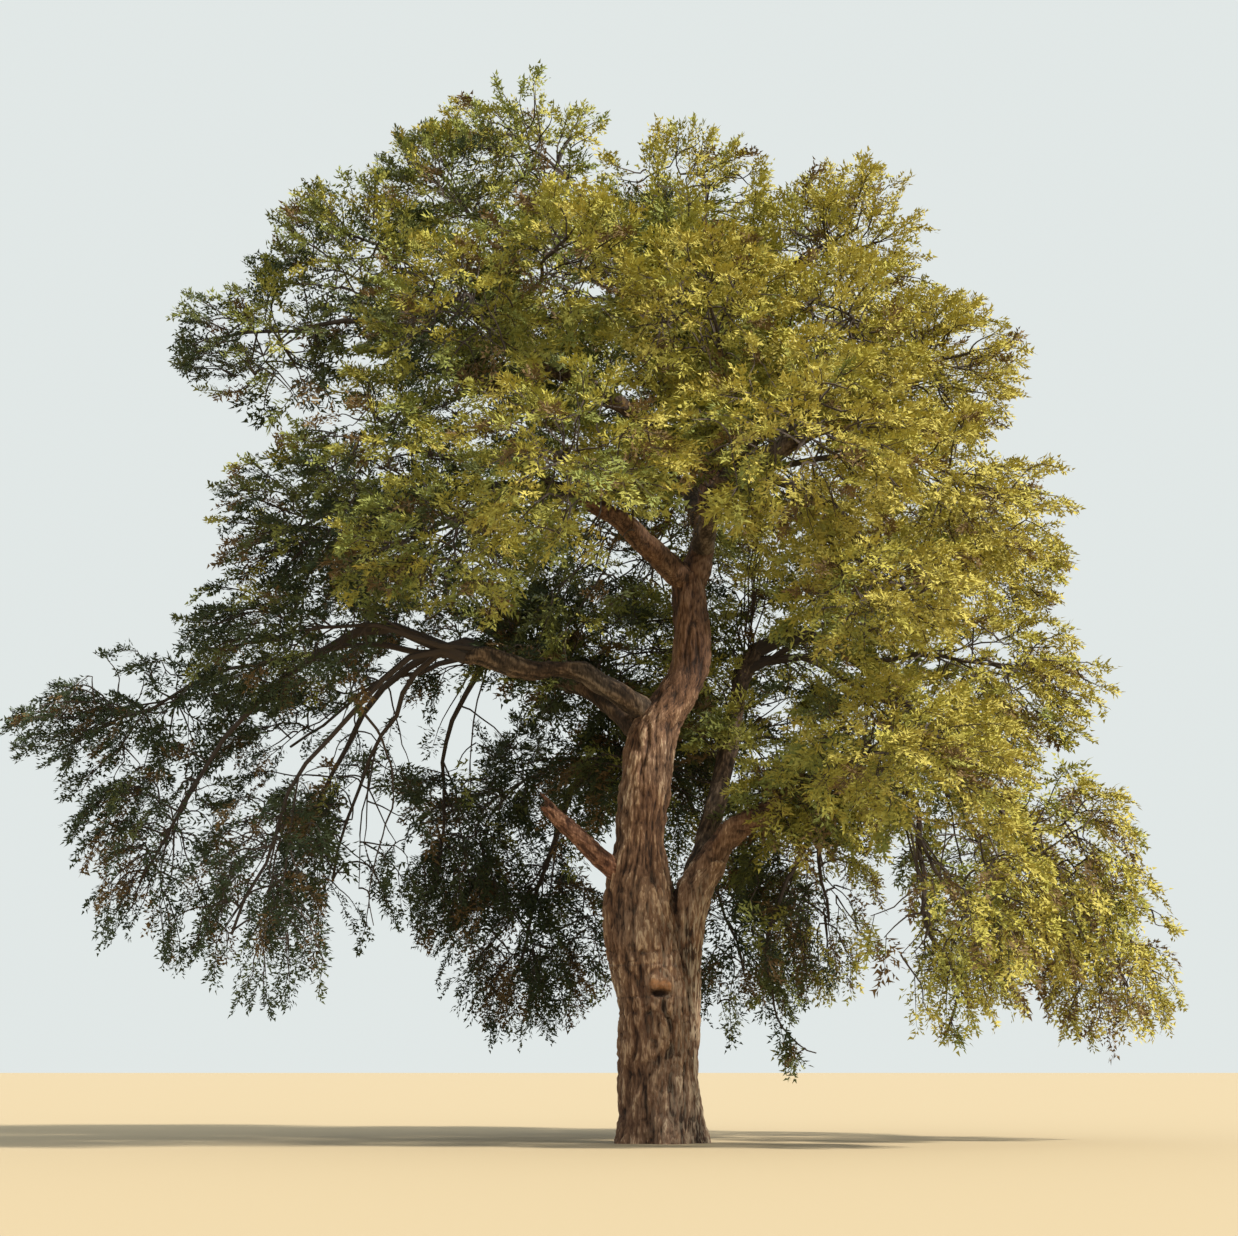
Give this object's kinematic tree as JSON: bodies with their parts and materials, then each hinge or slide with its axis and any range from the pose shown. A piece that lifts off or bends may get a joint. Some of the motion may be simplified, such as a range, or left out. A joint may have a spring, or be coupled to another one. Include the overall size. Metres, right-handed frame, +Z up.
{
  "type": "ghaf tree",
  "caption": "Ghaf tree with a short, thick, fused trunk, a broken stub, spreading boughs and a wide domed crown of fine foliage that hangs low in skirts at its sides.",
  "frame": {"origin": "middle of the flat cut under the trunk, at ground level", "axes": "+Z up, +X to the right of the tree's front view, +Y away from the viewer of that view"},
  "size_m": [12.7365, 10.6261, 11.992],
  "materials": {
    "bark": "deeply furrowed, fibrous, matt",
    "bare_wood": "weathered, barkless, split",
    "foliage": "fine olive-green leaves, matt with a slight sheen"
  },
  "bodies": {
    "root": {"back_bough": "bark", "broken_stub": "bare_wood", "centre_leader": "bark", "front_right_bough": "bark", "high_left_bough": "bark", "high_rear_bough": "bark", "high_right_bough": "bark", "left_bough": "bark", "left_rear_bough": "bark", "middle_foliage_1": "foliage", "middle_foliage_10": "foliage", "middle_foliage_2": "foliage", "middle_foliage_3": "foliage", "middle_foliage_4": "foliage", "middle_foliage_5": "foliage", "middle_foliage_6": "foliage", "middle_foliage_7": "foliage", "middle_foliage_8": "foliage", "middle_foliage_9": "foliage", "right_rear_bough": "bark", "second_leader": "bark", "shoulder_foliage_1": "foliage", "shoulder_foliage_10": "foliage", "shoulder_foliage_2": "foliage", "shoulder_foliage_3": "foliage", "shoulder_foliage_4": "foliage", "shoulder_foliage_5": "foliage", "shoulder_foliage_6": "foliage", "shoulder_foliage_7": "foliage", "shoulder_foliage_8": "foliage", "shoulder_foliage_9": "foliage", "skirt_foliage_1": "foliage", "skirt_foliage_10": "foliage", "skirt_foliage_11": "foliage", "skirt_foliage_12": "foliage", "skirt_foliage_2": "foliage", "skirt_foliage_3": "foliage", "skirt_foliage_4": "foliage", "skirt_foliage_5": "foliage", "skirt_foliage_6": "foliage", "skirt_foliage_7": "foliage", "skirt_foliage_8": "foliage", "skirt_foliage_9": "foliage", "top_foliage_1": "foliage", "top_foliage_2": "foliage", "top_foliage_3": "foliage", "top_foliage_4": "foliage", "top_foliage_5": "foliage", "top_foliage_6": "foliage", "trunk": "bark", "upper_foliage_1": "foliage", "upper_foliage_2": "foliage", "upper_foliage_3": "foliage", "upper_foliage_4": "foliage", "upper_foliage_5": "foliage", "upper_foliage_6": "foliage", "upper_foliage_7": "foliage", "upper_foliage_8": "foliage", "upper_foliage_9": "foliage", "upper_left_bough": "bark"}
  },
  "joints": []
}
